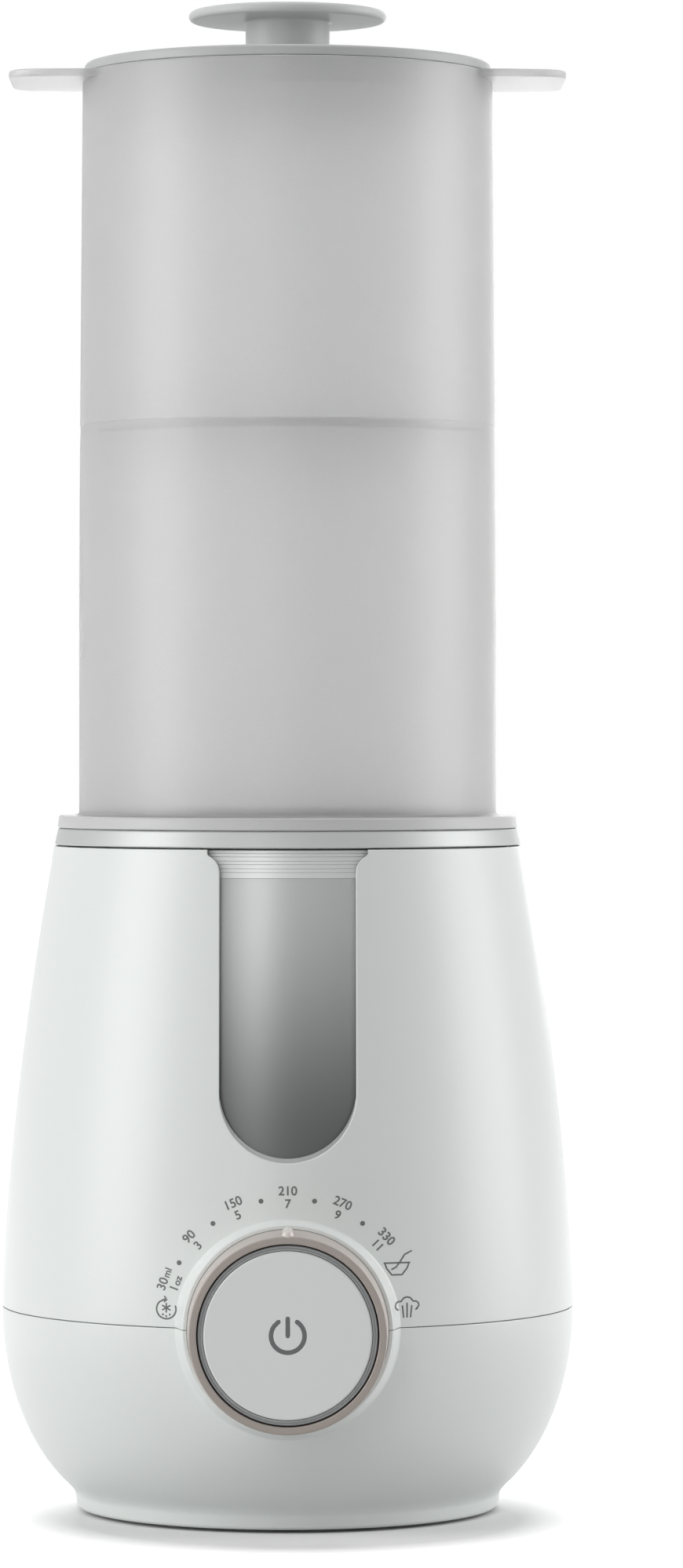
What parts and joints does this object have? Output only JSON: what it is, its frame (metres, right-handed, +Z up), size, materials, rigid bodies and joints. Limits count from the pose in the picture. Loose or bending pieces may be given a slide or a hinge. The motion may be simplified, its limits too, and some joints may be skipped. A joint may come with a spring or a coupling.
{
  "type": "bottle and baby food warmer with steam column",
  "caption": "Egg-shaped countertop warmer with viewing window, round dial with centre button, and a tall frosted steam column with ears, inner trays and a knobbed lid.",
  "frame": {"origin": "on the surface it stands on, under the middle of the whole object's box", "axes": "+Z up along the body's axis, -Y to the front where the dial is, +X to the right seen from the front"},
  "size_m": [0.14, 0.155, 0.3669],
  "materials": {
    "white_casing": "satin moulded white plastic",
    "silver_collar": "satin silver lacquer on plastic",
    "clear_cup": "clear, slightly smoky, polished",
    "frosted_column": "frosted translucent plastic",
    "grey_lid": "satin moulded grey plastic",
    "taupe_dial": "satin warm grey plastic",
    "dial_pointer": "polished nub",
    "light_ring": "glossy translucent grey",
    "button_face": "fine matte light grey",
    "black_nylon": "moulded black nylon",
    "circuit_board": "green solder mask",
    "heater_aluminium": "drawn aluminium sheet",
    "steel": "plated steel",
    "silicone": "translucent silicone",
    "rubber_pad": "matte grey rubber"
  },
  "bodies": {
    "base": {"upper_shell": "white_casing", "lower_shell": "white_casing", "base_plate": "white_casing", "mains_inlet_bush": "white_casing", "collar_ring": "silver_collar", "chamber_cup": "clear_cup", "chamber_seal": "silicone", "heater_plate": "heater_aluminium", "heating_element": "steel", "heater_clamp": "steel", "clamp_screw_1": "steel", "clamp_screw_2": "steel", "clamp_screw_3": "steel", "thermostat": "black_nylon", "temperature_sensor": "steel", "dial_housing": "black_nylon", "housing_screw_1": "steel", "housing_screw_2": "steel", "light_ring": "light_ring", "button_spring": "steel", "button_switch": "black_nylon", "dial_encoder": "black_nylon", "indicator_lamp": "silicone", "control_board": "circuit_board", "board_screw_1": "steel", "board_screw_2": "steel", "board_screw_3": "steel", "board_screw_4": "steel", "terminal_block": "black_nylon", "heater_lead_1": "silicone", "heater_lead_2": "silicone", "sensor_lead": "silicone", "base_screw_1": "steel", "base_screw_2": "steel", "base_screw_3": "steel", "base_screw_4": "steel", "foot_pad_1": "rubber_pad", "foot_pad_2": "rubber_pad", "foot_pad_3": "rubber_pad", "foot_pad_4": "rubber_pad"},
    "dial": {"dial_ring": "taupe_dial", "dial_pointer": "dial_pointer", "dial_gear": "black_nylon"},
    "encoder": {"encoder_pinion": "black_nylon"},
    "button": {"power_button": "button_face", "switch_plunger": "black_nylon"},
    "column": {"steam_column": "frosted_column"},
    "lower_tray": {"lower_tray": "grey_lid"},
    "upper_tray": {"upper_tray": "grey_lid"},
    "lid": {"lid": "grey_lid", "lid_knob": "grey_lid", "lid_knob_screw": "steel"}
  },
  "joints": [
    {"name": "dial_turn", "type": "hinge", "parent": "base", "child": "dial", "pos_m": [0, -0.07, 0.0502], "axis": [0, 1, 0], "range_deg": [-78, 77]},
    {"name": "encoder_turn", "type": "hinge", "parent": "base", "child": "encoder", "pos_m": [0.02511, -0.0465, 0.0357], "axis": [0, 1, 0], "range_deg": [-380, 380]},
    {"name": "button_press", "type": "slide", "parent": "base", "child": "button", "axis": [0, 1, 0], "range_m": [0, 0.0012], "stiffness_N_per_m": 900, "springref_m": -0.002, "deforming": ["button_spring"]},
    {"name": "column_lift", "type": "slide", "parent": "base", "child": "column", "axis": [0, 0, 1], "range_m": [0, 0.2]},
    {"name": "lower_tray_lift", "type": "slide", "parent": "column", "child": "lower_tray", "axis": [0, 0, 1], "range_m": [0, 0.08]},
    {"name": "upper_tray_lift", "type": "slide", "parent": "column", "child": "upper_tray", "axis": [0, 0, 1], "range_m": [0, 0.07]},
    {"name": "lid_lift", "type": "slide", "parent": "column", "child": "lid", "axis": [0, 0, 1], "range_m": [0, 0.12]}
  ],
  "couplings": [
    {"joint": "encoder_turn", "follows": "dial_turn", "ratio": -4.8}
  ]
}
